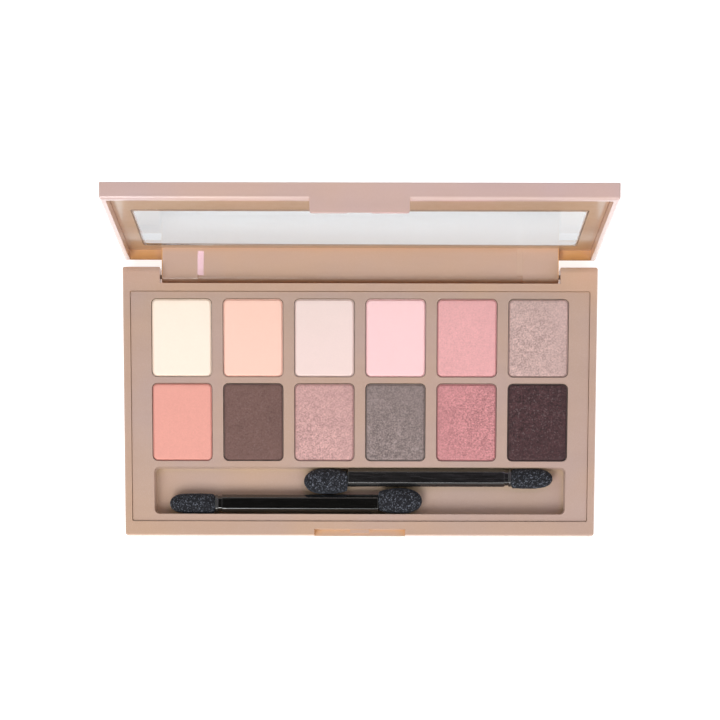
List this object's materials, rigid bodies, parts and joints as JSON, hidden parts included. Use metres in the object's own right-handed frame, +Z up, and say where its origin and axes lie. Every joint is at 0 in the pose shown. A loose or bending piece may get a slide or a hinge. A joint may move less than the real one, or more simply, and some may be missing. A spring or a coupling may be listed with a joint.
{
  "type": "eyeshadow palette",
  "caption": "Flat rectangular eyeshadow palette with a hinged clear-window lid, pressed powder pans in two rows and a well holding double-ended sponge applicators.",
  "frame": {"origin": "centre of the base's flat underside, on the surface it rests on", "axes": "+X to the user's right along the palette's width, +Y away from the user towards the hinge, +Z up; the lid stands open at rest"},
  "size_m": [0.132, 0.0841, 0.0746],
  "materials": {
    "casing": "satin-glossy pearl rose-beige moulded plastic",
    "tray": "satin rose-beige moulded plastic with a fine grain",
    "pan": "thin pressed sheet",
    "pin": "drawn wire",
    "stick": "polished black moulded plastic",
    "sponge": "dark open-cell foam",
    "window": "clear polished plastic",
    "powder_01_ivory": "matte pressed powder",
    "powder_02_peach": "matte pressed powder",
    "powder_03_shell": "matte pressed powder",
    "powder_04_blush": "matte pressed powder",
    "powder_05_rose": "pressed powder with a fine shimmer",
    "powder_06_taupe": "pressed powder with a fine shimmer",
    "powder_07_coral": "matte pressed powder",
    "powder_08_brown": "matte pressed powder",
    "powder_09_dusty_pink": "pressed powder with a fine shimmer",
    "powder_10_grey": "pressed powder with a fine shimmer",
    "powder_11_berry": "pressed powder with a fine shimmer",
    "powder_12_plum": "pressed powder with a fine shimmer"
  },
  "bodies": {
    "base": {"base_shell": "casing", "pan_tray": "tray", "pan_01": "pan", "pan_02": "pan", "pan_03": "pan", "pan_04": "pan", "pan_05": "pan", "pan_06": "pan", "pan_07": "pan", "pan_08": "pan", "pan_09": "pan", "pan_10": "pan", "pan_11": "pan", "pan_12": "pan", "powder_01_ivory": "powder_01_ivory", "powder_02_peach": "powder_02_peach", "powder_03_shell": "powder_03_shell", "powder_04_blush": "powder_04_blush", "powder_05_rose": "powder_05_rose", "powder_06_taupe": "powder_06_taupe", "powder_07_coral": "powder_07_coral", "powder_08_brown": "powder_08_brown", "powder_09_dusty_pink": "powder_09_dusty_pink", "powder_10_grey": "powder_10_grey", "powder_11_berry": "powder_11_berry", "powder_12_plum": "powder_12_plum", "hinge_pin_left": "pin", "hinge_pin_right": "pin"},
    "lid": {"lid_shell": "casing", "lid_bezel": "casing", "lid_window": "window"},
    "applicator_rear": {"applicator_rear_stick": "stick", "applicator_rear_large_sponge": "sponge", "applicator_rear_small_sponge": "sponge"},
    "applicator_front": {"applicator_front_stick": "stick", "applicator_front_large_sponge": "sponge", "applicator_front_small_sponge": "sponge"}
  },
  "joints": [
    {"name": "lid_hinge", "type": "hinge", "parent": "base", "child": "lid", "pos_m": [0, 0.0344, 0.00395], "axis": [1, 0, 0], "range_deg": [0, 93.3]},
    {"name": "applicator_rear_lift", "type": "slide", "parent": "base", "child": "applicator_rear", "axis": [0, 0, 1], "range_m": [0, 0.03]},
    {"name": "applicator_front_lift", "type": "slide", "parent": "base", "child": "applicator_front", "axis": [0, 0, 1], "range_m": [0, 0.03]}
  ]
}
